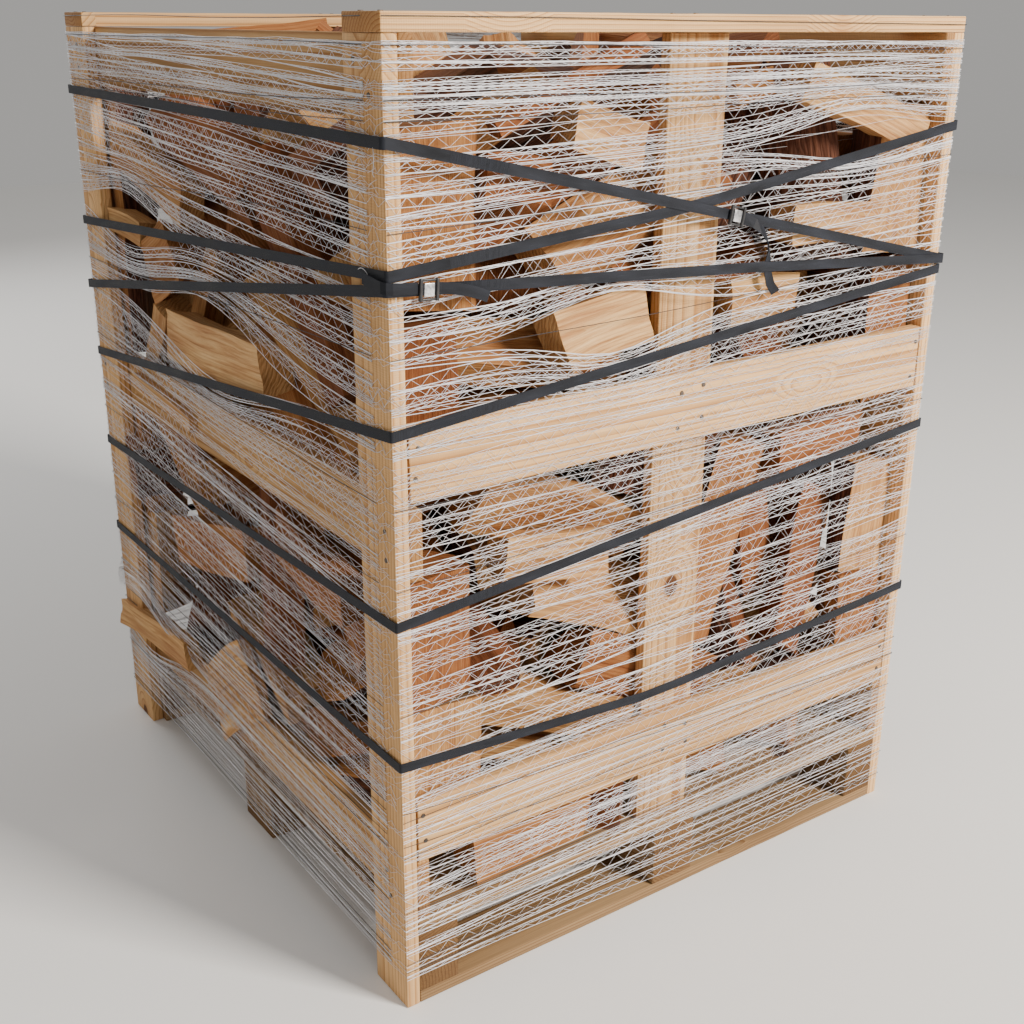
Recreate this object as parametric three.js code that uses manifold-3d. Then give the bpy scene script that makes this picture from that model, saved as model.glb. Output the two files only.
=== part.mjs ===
// A pallet crate of split firewood: a nailed pallet, a slatted crate on it, firewood chunks,
// a knitted net wound round the sides and six tight plastic straps. Millimetres, +Z up.
// Front is -Y and left is -X. Places are first given from the front left bottom corner of the
// crate (x to the right, y to the back, z up), and the group then moves its footprint's middle
// to the origin.

import * as THREE from 'three'
import { mergeVertices } from 'three/addons/utils/BufferGeometryUtils.js'
import Module from 'manifold-3d'

const wasm = await Module()
wasm.setup()

// Driving dimensions
const WIDTH = 920
const DEPTH = 1000
const HEIGHT = 1230
const GAP = 0.3
const FLOOR = -GAP / 2

const POST_THICK = 20
const POST_WIDTH = 82
const RAIL_THICK = 18
const MID_POST = [401, 495]
const TOP_BOARD = { thick: 21, wide: 82 }
const RIM = HEIGHT - TOP_BOARD.thick

const BASE_THICK = 18
const BLOCK_TOP = 96
const STRINGER_TOP = 112
const DECK_TOP = 130
const BASE_ROWS = { front: [0, 95], mid: [452, 548], back: [905, DEPTH] }
const BLOCK_COLUMNS = { left: [20, 80], mid: [423, 499], right: [840, 900] }
const DECK_BOARDS = [[0, 120], [220, 340], [440, 560], [660, 780], [880, DEPTH]]

const SIDE_RAILS = { low: [131, 218], mid: [606, 695], top: [1122, RIM] }
const END_RAILS = { low: [219, 306], mid: [707, 799] }
const MID_RAIL_TILT = THREE.MathUtils.degToRad(0.5)

const NET = { bottom: 27, top: 1214, thick: 1.2, out: GAP, hole: 1.5 }
const FORK_NOTCH_MARGIN = 6
const STRAP = { wide: 13, thick: 0.8, firstOut: 2.2, layer: 1.3 }
const CORNER_STEPS = 4
const FRONT_STATIONS = [230, 460, 690]
const BUCKLE = { wide: 25, high: 25, thick: 4, bar: 4 }

const FILL = { inset: 8, top: 1190, clearance: 0.4 }

// Finishes
const PINE = new THREE.MeshStandardMaterial({ color: 0xd9bd92, roughness: 0.8, metalness: 0 })
const PALLET_WOOD = new THREE.MeshStandardMaterial({ color: 0xb8935f, roughness: 0.85, metalness: 0 })
const FIREWOOD = new THREE.MeshStandardMaterial({ color: 0xc89b66, roughness: 0.85, metalness: 0 })
const BARK = new THREE.MeshStandardMaterial({ color: 0x6e4630, roughness: 0.95, metalness: 0 })
const NETTING = new THREE.MeshStandardMaterial({ color: 0xd8dbe2, roughness: 0.5, metalness: 0 })
const STRAPPING = new THREE.MeshStandardMaterial({ color: 0x3a3f4a, roughness: 0.45, metalness: 0 })
const BUCKLE_PLASTIC = new THREE.MeshStandardMaterial({ color: 0x18191b, roughness: 0.4, metalness: 0 })

const group = new THREE.Group()

function add(name, geometry, material) {
  const mesh = new THREE.Mesh(geometry, material)
  mesh.name = name
  group.add(mesh)
  return mesh
}

// A straight board or block that fills the nominal box less half a gap on every side.
function board(name, x, y, z, material) {
  const size = [x, y, z].map(([low, high]) => high - low - GAP)
  const middle = [x, y, z].map(([low, high]) => (low + high) / 2)
  const mesh = add(name, new THREE.BoxGeometry(...size), material)
  mesh.position.set(...middle)
  return mesh
}

// Manifold solids, for the joins and cuts

function toSolid(geometry) {
  const bare = geometry.clone()
  bare.deleteAttribute('normal')
  bare.deleteAttribute('uv')
  const merged = mergeVertices(bare, 1e-4)
  const vertProperties = Float32Array.from(merged.attributes.position.array)
  const triVerts = Uint32Array.from(merged.index.array)
  return new wasm.Manifold(new wasm.Mesh({ numProp: 3, vertProperties, triVerts }))
}

function fromSolid(solid) {
  const { vertProperties, triVerts } = solid.getMesh()
  const geometry = new THREE.BufferGeometry()
  geometry.setAttribute('position', new THREE.BufferAttribute(Float32Array.from(vertProperties), 3))
  geometry.setIndex(new THREE.BufferAttribute(Uint32Array.from(triVerts), 1))
  geometry.computeVertexNormals()
  return geometry
}

function boxBetween(low, high) {
  const size = low.map((value, i) => high[i] - value)
  const middle = low.map((value, i) => (value + high[i]) / 2)
  return new THREE.BoxGeometry(...size).translate(...middle)
}

// A mesh's shape in the group's frame, grown a little about its own middle: the room it needs.
function roomFor(mesh, clearance) {
  mesh.updateMatrix()
  mesh.geometry.computeBoundingBox()
  const size = mesh.geometry.boundingBox.getSize(new THREE.Vector3())
  const middle = mesh.geometry.boundingBox.getCenter(new THREE.Vector3())
  const growth = ['x', 'y', 'z'].map((axis) => 1 + (2 * clearance) / size[axis])
  const grown = mesh.geometry.clone().translate(-middle.x, -middle.y, -middle.z)
  grown.scale(...growth).translate(middle.x, middle.y, middle.z).applyMatrix4(mesh.matrix)
  return toSolid(grown)
}

// Pallet: three base boards, nine blocks, three stringers and five deck boards

function buildPallet() {
  const span = [POST_THICK, WIDTH - POST_THICK]
  for (const [row, y] of Object.entries(BASE_ROWS)) {
    board(`base_board_${row}`, span, y, [FLOOR, BASE_THICK], PALLET_WOOD)
    for (const [column, x] of Object.entries(BLOCK_COLUMNS)) {
      board(`block_${row}_${column}`, x, y, [BASE_THICK, BLOCK_TOP], PALLET_WOOD)
    }
  }
  for (const [column, x] of Object.entries(BLOCK_COLUMNS)) {
    board(`stringer_${column}`, x, [0, DEPTH], [BLOCK_TOP, STRINGER_TOP], PALLET_WOOD)
  }
  DECK_BOARDS.forEach((y, i) => board(`deck_board_${i + 1}`, span, y, [STRINGER_TOP, DECK_TOP], PALLET_WOOD))
}

// Crate: corner posts outside the side rails, end rails between the posts, a mid post behind the
// end rails and a flat board on top of each end

function buildCrate() {
  const sides = { left: 0, right: WIDTH }
  const ends = { front: 0, back: DEPTH }
  for (const [side, x] of Object.entries(sides)) {
    const inward = x === 0 ? 1 : -1
    const postX = [x, x + inward * POST_THICK].sort((a, b) => a - b)
    const railX = [x + inward * POST_THICK, x + inward * (POST_THICK + RAIL_THICK)].sort((a, b) => a - b)
    board(`corner_post_front_${side}`, postX, [0, POST_WIDTH], [FLOOR, RIM], PINE)
    board(`corner_post_back_${side}`, postX, [DEPTH - POST_WIDTH, DEPTH], [FLOOR, RIM], PINE)
    for (const [level, z] of Object.entries(SIDE_RAILS)) {
      board(`side_rail_${side}_${level}`, railX, [0, DEPTH], z, PINE)
    }
  }
  for (const [end, y] of Object.entries(ends)) {
    const inward = y === 0 ? 1 : -1
    const layer = (from, to) => [y + inward * from, y + inward * to].sort((a, b) => a - b)
    for (const [level, z] of Object.entries(END_RAILS)) {
      const railX = [POST_THICK + 2, WIDTH - POST_THICK - 2]
      const rail = board(`end_rail_${end}_${level}`, railX, layer(0, RAIL_THICK), z, PINE)
      if (level === 'mid') rail.rotation.y = -MID_RAIL_TILT
    }
    board(`mid_post_${end}`, MID_POST, layer(RAIL_THICK, 2 * RAIL_THICK), [DECK_TOP, RIM], PINE)
    board(`top_board_${end}`, [0, WIDTH], layer(0, TOP_BOARD.wide), [RIM, HEIGHT], PINE)
  }
}

// Firewood: outer chunks that show most, and one solid that stands for all the others

// Sections of split chunks. u runs along the long side, and the side at low v faces out.
const SLAB = [[-42, -18], [42, -20], [38, 20], [-36, 22]]
const WEDGE = [[-55, -22], [55, -26], [48, 12], [-20, 34]]
const THIN_WEDGE = [[-27, -16], [28, -18], [24, 12], [-12, 17]]
const SPLINT = [[-14, -9], [14, -10], [12, 7], [-8, 8]]
const QUARTER = [[-50, -38], [52, -42], [38, 30], [-6, 52], [-40, 26]]

const LEFT = new THREE.Vector3(-1, 0, 0)
const RIGHT = new THREE.Vector3(1, 0, 0)
const FRONT = new THREE.Vector3(0, -1, 0)

// A straight chunk, centred on its place. It runs along the given direction and faces outward.
function chunk(name, length, corners, place, along, facing, material) {
  const section = new THREE.Shape(corners.map(([u, v]) => new THREE.Vector2(u, v)))
  const geometry = new THREE.ExtrudeGeometry(section, { depth: length, bevelEnabled: false })
  const mesh = add(name, geometry.translate(0, 0, -length / 2), material)
  const lengthwise = new THREE.Vector3(...along).normalize()
  const inward = facing.clone().negate()
  const across = new THREE.Vector3().crossVectors(inward, lengthwise)
  mesh.quaternion.setFromRotationMatrix(new THREE.Matrix4().makeBasis(across, inward, lengthwise))
  mesh.position.set(...place)
  return mesh
}

function buildFirewood() {
  const chunks = [
    chunk('chunk_left_broad', 335, SLAB, [24, 518, 780], [0, 1, -0.03], LEFT, FIREWOOD),
    chunk('chunk_left_splint', 236, SPLINT, [11, 741, 656], [0, 1, 0], LEFT, FIREWOOD),
    chunk('chunk_left_upper', 330, THIN_WEDGE, [22, 715, 880], [0, 1, -0.16], LEFT, FIREWOOD),
    chunk('chunk_left_face', 270, SLAB, [24, 590, 465], [0, 1, -0.2], LEFT, FIREWOOD),
    chunk('chunk_left_low', 225, THIN_WEDGE, [0, 798, 232], [0, 1, -0.1], LEFT, FIREWOOD),
    chunk('chunk_left_slipped', 225, SLAB, [-3, 560, 205], [0, 1, -0.25], LEFT, FIREWOOD),
    chunk('chunk_right_low', 250, THIN_WEDGE, [WIDTH, 420, 300], [0, 1, 0.1], RIGHT, FIREWOOD),
    chunk('chunk_front_wedge', 110, WEDGE, [308, 29, 1086], [0.5, 0, -0.8], FRONT, FIREWOOD),
    chunk('chunk_front_slanted', 220, SPLINT, [232, 11, 1146], [1, 0, 0.44], FRONT, BARK),
    chunk('chunk_front_broad', 270, SLAB, [725, 24, 1112], [1, 0, -0.42], FRONT, FIREWOOD),
    chunk('chunk_front_middle', 130, SLAB, [302, 25, 877], [1, 0, -0.6], FRONT, FIREWOOD),
    chunk('chunk_top_tip', 240, QUARTER, [172, 182, 1177], [1, 0, 0.02], FRONT, FIREWOOD),
  ]
  const low = [FILL.inset, FILL.inset, DECK_TOP + GAP]
  const high = [WIDTH - FILL.inset, DEPTH - FILL.inset, FILL.top]
  let fill = toSolid(boxBetween(low, high))
  for (const mesh of group.children) fill = fill.subtract(roomFor(mesh, FILL.clearance))
  add('firewood_fill', fromSolid(fill), FIREWOOD)
  return chunks
}

// The way round the crate: stations on its edge, each with the direction that a stand-off is measured
// in, which turns round the corner posts in steps. The front side has stations of its own.

function wayRound(frontStations = []) {
  const stations = frontStations.map((x) => ({ x, y: 0, outX: 0, outY: -1 }))
  const corners = [[WIDTH, 0, -90], [WIDTH, DEPTH, 0], [0, DEPTH, 90], [0, 0, 180]]
  for (const [x, y, startDegrees] of corners) {
    for (let step = 0; step <= CORNER_STEPS; step++) {
      const angle = THREE.MathUtils.degToRad(startDegrees + (90 * step) / CORNER_STEPS)
      stations.push({ x, y, outX: Math.cos(angle), outY: Math.sin(angle) })
    }
  }
  return stations
}

// Net: a sleeve with a notch at each fork opening and a hole round each chunk that pokes out

function forkOpenings() {
  const margin = FORK_NOTCH_MARGIN
  const columns = Object.values(BLOCK_COLUMNS)
  const rows = Object.values(BASE_ROWS)
  const boxes = []
  for (let i = 0; i < 2; i++) {
    const x = [columns[i][1] + margin, columns[i + 1][0] - margin]
    boxes.push(boxBetween([x[0], -100, 0], [x[1], DEPTH + 100, STRINGER_TOP]))
    const y = [rows[i][1] + margin, rows[i + 1][0] - margin]
    boxes.push(boxBetween([-100, y[0], 0], [WIDTH + 100, y[1], BLOCK_TOP]))
  }
  return boxes
}

function buildNet(chunks) {
  const standOff = ({ x, y, outX, outY }, out) => new THREE.Vector2(x + out * outX, y + out * outY)
  const outline = (out) => wayRound().map((station) => standOff(station, out))
  const section = new THREE.Shape(outline(NET.out + NET.thick))
  section.holes.push(new THREE.Path(outline(NET.out)))
  const sleeve = new THREE.ExtrudeGeometry(section, { depth: NET.top - NET.bottom, bevelEnabled: false })
  sleeve.translate(0, 0, NET.bottom)
  let solid = toSolid(sleeve)
  for (const box of forkOpenings()) solid = solid.subtract(toSolid(box))
  for (const mesh of chunks) {
    const room = new THREE.Box3().setFromObject(mesh).expandByScalar(NET.hole)
    solid = solid.subtract(toSolid(boxBetween(room.min.toArray(), room.max.toArray())))
  }
  add('net_wrap', fromSolid(solid), NETTING)
}

// Straps: level or slanting bands. heights are at the front left, front right, back right and
// back left corners, kinks are [x, height] on the front side, and a tail is a list of
// [x, stand-off, height] past the strap's buckle.

const CORNER_TAIL = [[62, 0.4, 949], [80, 5, 947], [98, 9, 943], [118, 10, 937]]
const MIDDLE_TAIL = [[516, 0.4, 989], [532, 6, 975], [548, 9, 952], [564, 10, 924], [577, 9, 896]]
const STRAPS = [
  { heights: [1103, 901, 1000, 1115], kinks: [], layer: 2, tail: MIDDLE_TAIL },
  { heights: [966, 1087, 1010, 909], kinks: [[427, 1009]], layer: 1 },
  { heights: [951, 901, 860, 803], kinks: [[537, 925]], layer: 3, tail: CORNER_TAIL },
  { heights: [788, 886, 790, 688], kinks: [], layer: 0 },
  { heights: [555, 652, 600, 529], kinks: [], layer: 0 },
  { heights: [366, 383, 375, 368], kinks: [[409, 346]], layer: 0 },
]

function strapHeight({ heights, kinks }, x, y) {
  const [frontLeft, frontRight, backRight, backLeft] = heights
  const across = THREE.MathUtils.clamp(x, 0, WIDTH) / WIDTH
  const along = THREE.MathUtils.clamp(y, 0, DEPTH) / DEPTH
  const sideways = Math.abs(across - 0.5) > Math.abs(along - 0.5)
  const mix = THREE.MathUtils.lerp
  if (sideways && across < 0.5) return mix(frontLeft, backLeft, along)
  if (sideways) return mix(frontRight, backRight, along)
  if (along > 0.5) return mix(backLeft, backRight, across)
  const stations = [[0, frontLeft], ...kinks, [WIDTH, frontRight]]
  const place = across * WIDTH
  const next = Math.max(1, stations.findIndex(([station]) => station >= place))
  const [fromX, fromZ] = stations[next - 1]
  const [toX, toZ] = stations[next]
  return mix(fromZ, toZ, (place - fromX) / (toX - fromX))
}

const strapOut = (layer) => STRAP.firstOut + layer * STRAP.layer

// A loose end past a buckle: a strip that starts inside the strap and stands off it along a list of
// [x, stand-off, height] points.
function tail(points, layer) {
  const section = new THREE.Shape()
  const inner = strapOut(layer)
  const front = points.map(([x, off]) => new THREE.Vector2(x, -inner - off - STRAP.thick))
  const back = points.map(([x, off]) => new THREE.Vector2(x, -inner - off)).reverse()
  section.setFromPoints([...front, ...back])
  const geometry = new THREE.ExtrudeGeometry(section, { depth: STRAP.wide, bevelEnabled: false })
  const position = geometry.attributes.position
  for (let v = 0; v < position.count; v++) {
    const [, , height] = points.find(([x]) => Math.abs(x - position.getX(v)) < STRAP.thick)
    position.setZ(v, position.getZ(v) + height - STRAP.wide / 2)
  }
  return toSolid(geometry)
}

// A band is a lathed ring whose turns are moved to the stations of the way round.
function band(strap) {
  const frontStations = [...FRONT_STATIONS, ...strap.kinks.map(([x]) => x)]
  const stations = wayRound(frontStations.sort((a, b) => a - b))
  const inner = strapOut(strap.layer)
  const outer = inner + STRAP.thick
  const corners = [[inner, 0], [outer, 0], [outer, STRAP.wide], [inner, STRAP.wide]]
  const profile = [...corners, corners[0]].map(([out, up]) => new THREE.Vector2(out, up))
  const geometry = new THREE.LatheGeometry(profile, stations.length)
  const position = geometry.attributes.position
  for (let v = 0; v < position.count; v++) {
    const { x, y, outX, outY } = stations[Math.floor(v / profile.length) % stations.length]
    const { x: out, y: up } = profile[v % profile.length]
    const height = strapHeight(strap, x, y) - STRAP.wide / 2
    position.setXYZ(v, x + out * outX, y + out * outY, height + up)
  }
  return toSolid(geometry)
}

function buildStraps() {
  STRAPS.forEach((strap, i) => {
    const solid = strap.tail ? band(strap).add(tail(strap.tail, strap.layer)) : band(strap)
    add(`strap_${i + 1}`, fromSolid(solid), STRAPPING)
  })
}

// Buckles: a flat frame with a middle bar, lying on the strap

function buckle(name, x, strap) {
  const { wide, high, thick, bar } = BUCKLE
  const flatBox = (fromX, toX, halfHigh) => toSolid(boxBetween([fromX, 0, -halfHigh], [toX, thick, halfHigh]))
  let frame = flatBox(-wide / 2, wide / 2, high / 2)
  for (const middle of [-1, 1].map((side) => (side * (wide - bar)) / 4)) {
    const reach = (wide - 3 * bar) / 4
    const low = [middle - reach, -1, bar - high / 2]
    const top = [middle + reach, thick + 1, high / 2 - bar]
    frame = frame.subtract(toSolid(boxBetween(low, top)))
  }
  const mesh = add(name, fromSolid(frame), BUCKLE_PLASTIC)
  const front = -strapOut(strap.layer) - STRAP.thick - GAP
  mesh.position.set(x, front - thick, strapHeight(strap, x, 0))
}

buildPallet()
buildCrate()
const chunks = buildFirewood()
buildNet(chunks)
buildStraps()
buckle('buckle_front_left', 46, STRAPS[2])
buckle('buckle_front_middle', 501, STRAPS[0])

// The origin is the middle of the footprint, on the floor.
const extent = new THREE.Box3().setFromObject(group)
const middle = extent.getCenter(new THREE.Vector3())
group.position.set(-middle.x, -middle.y, -extent.min.z)

export default group
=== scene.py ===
import math
import random

import bmesh
import bpy
from mathutils import Matrix, Vector, noise


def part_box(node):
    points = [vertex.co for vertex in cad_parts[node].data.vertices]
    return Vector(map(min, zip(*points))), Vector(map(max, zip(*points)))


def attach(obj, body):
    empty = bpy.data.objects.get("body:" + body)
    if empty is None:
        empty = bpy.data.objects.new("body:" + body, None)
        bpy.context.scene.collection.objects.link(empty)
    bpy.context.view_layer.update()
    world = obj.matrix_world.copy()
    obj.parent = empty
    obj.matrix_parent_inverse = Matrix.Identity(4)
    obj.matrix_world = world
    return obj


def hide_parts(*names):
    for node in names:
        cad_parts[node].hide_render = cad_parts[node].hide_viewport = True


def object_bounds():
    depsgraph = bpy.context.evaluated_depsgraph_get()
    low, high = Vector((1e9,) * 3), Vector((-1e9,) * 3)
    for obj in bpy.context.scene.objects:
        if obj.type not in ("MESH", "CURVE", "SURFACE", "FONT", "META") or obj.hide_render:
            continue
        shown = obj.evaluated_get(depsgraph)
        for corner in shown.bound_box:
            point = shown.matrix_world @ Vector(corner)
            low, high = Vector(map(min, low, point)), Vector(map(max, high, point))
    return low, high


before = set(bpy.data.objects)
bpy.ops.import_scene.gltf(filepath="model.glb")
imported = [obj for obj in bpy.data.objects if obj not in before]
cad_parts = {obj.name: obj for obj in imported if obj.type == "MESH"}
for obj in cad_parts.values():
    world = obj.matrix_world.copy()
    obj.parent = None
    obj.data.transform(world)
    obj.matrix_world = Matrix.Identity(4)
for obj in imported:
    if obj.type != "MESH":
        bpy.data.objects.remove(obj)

cad_low, cad_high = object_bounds()


# ---- Floor, light and camera -------------------------------------------------------------------------------
# A plain pale floor under the crate, one large soft key lamp at the front right, so that the front is bright
# and the left side is in soft shade, and weaker fill lamps for the left side and the back.

# Places on the crate are millimetres from the foot of its front left corner post:
# x along the front, y along the left side, z up.
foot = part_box("corner_post_front_left")[0]


def on_crate(x, y, z):
    return foot + Vector((x, y, z)) / 1000


def node_tree(material):
    material.use_nodes = True
    return material.node_tree, material.node_tree.nodes["Principled BSDF"]


def add_node(tree, kind, inputs=None, **settings):
    """A shader node with its settings, each input joined to a socket or given a value."""
    made = tree.nodes.new(kind)
    for name, value in settings.items():
        setattr(made, name, value)
    for socket, value in (inputs or {}).items():
        if isinstance(value, bpy.types.NodeSocket):
            tree.links.new(value, made.inputs[socket])
        else:
            made.inputs[socket].default_value = value
    return made


def make_piece(name, bm, *materials):
    """A mesh object at the origin with its place in its mesh."""
    mesh = bpy.data.meshes.new(name)
    bm.to_mesh(mesh)
    bm.free()
    for material in materials:
        mesh.materials.append(material)
    piece = bpy.data.objects.new(name, mesh)
    bpy.context.scene.collection.objects.link(piece)
    return piece


FLOOR_HALF = 9.0
floor_paint = bpy.data.materials.new("floor_paint")
_, shader = node_tree(floor_paint)
shader.inputs["Base Color"].default_value = (0.86, 0.86, 0.855, 1)
shader.inputs["Roughness"].default_value = 0.85
bm = bmesh.new()
bmesh.ops.create_grid(bm, x_segments=1, y_segments=1, size=FLOOR_HALF)
bmesh.ops.translate(bm, verts=bm.verts, vec=(0, 0, cad_low.z))
floor = make_piece("floor", bm, floor_paint)

world = bpy.data.worlds.new("studio")
bpy.context.scene.world = world
world.use_nodes = True
world.node_tree.nodes["Background"].inputs["Color"].default_value = (1.0, 0.975, 0.94, 1)
world.node_tree.nodes["Background"].inputs["Strength"].default_value = 0.40

# name, place in metres, size in metres, power in watts, colour
LAMPS = [
    ("key_lamp", (2.0, -4.6, 3.3), 1.4, 590, (1.0, 0.93, 0.84)),
    ("left_fill", (-4.2, -1.2, 2.4), 3.5, 16, (1.0, 0.92, 0.82)),
    ("back_fill", (-0.6, 4.6, 3.0), 3.0, 90, (1.0, 0.98, 0.95)),
]
AIM = Vector((0, 0, 0.6))
for name, place, size, power, colour in LAMPS:
    lamp = bpy.data.lights.new(name, "AREA")
    lamp.size = size
    lamp.energy = power
    lamp.color = colour
    holder = bpy.data.objects.new(name, lamp)
    holder.location = place
    holder.rotation_euler = (AIM - Vector(place)).to_track_quat("-Z", "Y").to_euler()
    bpy.context.scene.collection.objects.link(holder)

camera = bpy.data.objects.new("camera", bpy.data.cameras.new("camera"))
camera.data.sensor_width = 36
camera.data.lens = 46.1
YAW, PITCH, ROLL = math.radians(35.17), math.radians(20.55), math.radians(0.32)
turn = Matrix.Rotation(-YAW, 4, "Z") @ Matrix.Rotation(math.pi / 2 - PITCH, 4, "X")
camera.matrix_world = Matrix.Translation(on_crate(-690.8, -1212.4, 1221.2)) @ turn @ Matrix.Rotation(ROLL, 4, "Z")
bpy.context.scene.collection.objects.link(camera)
bpy.context.scene.camera = camera


# ---- Sawn boards -------------------------------------------------------------------------------------------
# The crate is rough-sawn pale pine, the pallet under it older and browner. Each board keeps the place and
# size of its solid, with worn edges, slightly wavy faces, its own year rings and darker end grain.

def scaled(tree, vector, factors):
    return add_node(tree, "ShaderNodeVectorMath", {0: vector, 1: factors}, operation="MULTIPLY").outputs[0]


def calc(tree, operation, first, second):
    return add_node(tree, "ShaderNodeMath", {0: first, 1: second}, operation=operation).outputs[0]


def ramp(tree, value, *stops):
    """A colour ramp on a value; each stop is a place from 0 to 1 and a colour."""
    made = add_node(tree, "ShaderNodeValToRGB", {"Fac": value})
    elements = made.color_ramp.elements
    while len(elements) < len(stops):
        elements.new(0.5)
    for element, (place, colour) in zip(elements, stops):
        element.position = place
        element.color = colour
    return made.outputs["Color"]


def blend(tree, kind, amount, under, over):
    return add_node(tree, "ShaderNodeMix", {0: amount, 6: under, 7: over}, data_type="RGBA", blend_type=kind).outputs[2]


def sawn_pine(name, early, late, knot, bright, end_grain):
    """Wood that reads the board's own grain coordinates: x along the fibres, the pith on the x axis."""
    material = bpy.data.materials.new(name)
    tree, shader = node_tree(material)
    grain = add_node(tree, "ShaderNodeAttribute", attribute_name="grain").outputs["Vector"]
    tint = add_node(tree, "ShaderNodeAttribute", attribute_name="tint").outputs["Fac"]
    # Knots: some cells of a coarse pattern hold one, and the year rings bend round it.
    cells = add_node(tree, "ShaderNodeTexVoronoi", {"Vector": scaled(tree, grain, (6.0, 8.0, 1.5)), "Scale": 1.0})
    chosen = calc(tree, "GREATER_THAN", cells.outputs["Color"], 0.62)
    near_knot = calc(tree, "MULTIPLY", calc(tree, "SUBTRACT", 0.42, cells.outputs["Distance"]), chosen)
    near_knot = calc(tree, "MAXIMUM", near_knot, 0.0)
    bend = add_node(tree, "ShaderNodeCombineXYZ", {"Y": near_knot, "Z": near_knot}).outputs[0]
    bent = add_node(tree, "ShaderNodeVectorMath",
                    {0: scaled(tree, grain, (0.05, 1, 1)), 1: scaled(tree, bend, (0, 0.06, 0.06))},
                    operation="ADD").outputs[0]
    rings = add_node(tree, "ShaderNodeTexWave",
                     {"Vector": bent, "Scale": 62.0, "Distortion": 3.2, "Detail": 3.0, "Detail Scale": 0.35,
                      "Detail Roughness": 0.55},
                     wave_type="RINGS", rings_direction="X", wave_profile="SAW").outputs["Fac"]
    fibres = add_node(tree, "ShaderNodeTexNoise",
                      {"Vector": scaled(tree, grain, (7, 420, 420)), "Scale": 1.0, "Detail": 4.0,
                       "Roughness": 0.65}).outputs["Fac"]
    patches = add_node(tree, "ShaderNodeTexNoise",
                       {"Vector": scaled(tree, grain, (2.2, 9, 9)), "Scale": 1.0, "Detail": 5.0}).outputs["Fac"]
    late_wood = ramp(tree, rings, (0.0, (0, 0, 0, 1)), (0.62, (0.25, 0.25, 0.25, 1)), (0.93, (1, 1, 1, 1)),
                     (1.0, (0.3, 0.3, 0.3, 1)))
    wood = blend(tree, "MIX", late_wood, early, late)
    wood = blend(tree, "MULTIPLY", 1.0, wood, ramp(tree, fibres, (0.25, (0.72, 0.70, 0.68, 1)), (0.55, (1, 1, 1, 1)),
                                                   (0.8, (1.12, 1.1, 1.06, 1))))
    wood = blend(tree, "MULTIPLY", 1.0, wood, ramp(tree, patches, (0.3, (0.78, 0.72, 0.66, 1)),
                                                   (0.6, (1.05, 1.03, 1.0, 1))))
    halo = ramp(tree, near_knot, (0.22, (0, 0, 0, 1)), (0.33, (0.55, 0.55, 0.55, 1)))
    wood = blend(tree, "MIX", halo, wood, (late[0] * 0.8, late[1] * 0.62, late[2] * 0.5, 1))
    wood = blend(tree, "MIX", ramp(tree, near_knot, (0.315, (0, 0, 0, 1)), (0.335, (1, 1, 1, 1))), wood, knot)
    wood = blend(tree, "MULTIPLY", 1.0, wood, ramp(tree, tint, (0.0, (0.72 * bright, 0.68 * bright, 0.62 * bright, 1)),
                                                   (1.0, (1.1 * bright, 1.08 * bright, 1.06 * bright, 1))))
    if end_grain:
        wood = blend(tree, "MULTIPLY", 1.0, wood, (0.66, 0.56, 0.46, 1))
    tree.links.new(wood, shader.inputs["Base Color"])
    shader.inputs["Roughness"].default_value = 0.78
    shader.inputs["Specular IOR Level"].default_value = 0.25
    saw = add_node(tree, "ShaderNodeTexWave",
                   {"Vector": scaled(tree, grain, (1, 0.12, 0.12)), "Scale": 110.0, "Distortion": 2.0, "Detail": 2.0},
                   wave_type="BANDS", bands_direction="X").outputs["Fac"]
    height = calc(tree, "ADD", fibres, calc(tree, "MULTIPLY", saw, 0.25))
    height = calc(tree, "ADD", height, calc(tree, "MULTIPLY", rings, 0.25))
    bump = add_node(tree, "ShaderNodeBump", {"Height": height, "Strength": 0.55, "Distance": 0.0012})
    tree.links.new(bump.outputs["Normal"], shader.inputs["Normal"])
    return material


PINE = ((0.74, 0.49, 0.245, 1), (0.46, 0.235, 0.085, 1), (0.12, 0.05, 0.02, 1))
OLD_PINE = ((0.38, 0.26, 0.14, 1), (0.21, 0.115, 0.05, 1), (0.07, 0.032, 0.018, 1))
crate_face = sawn_pine("crate_face", *PINE, 1.05, False)
crate_end = sawn_pine("crate_end", *PINE, 0.95, True)
pallet_face = sawn_pine("pallet_face", *OLD_PINE, 1.0, False)
pallet_end = sawn_pine("pallet_end", *OLD_PINE, 0.95, True)

EDGE_WEAR = 0.0014
WAVE = 0.0007
BOARD_STEP = 0.045


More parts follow.
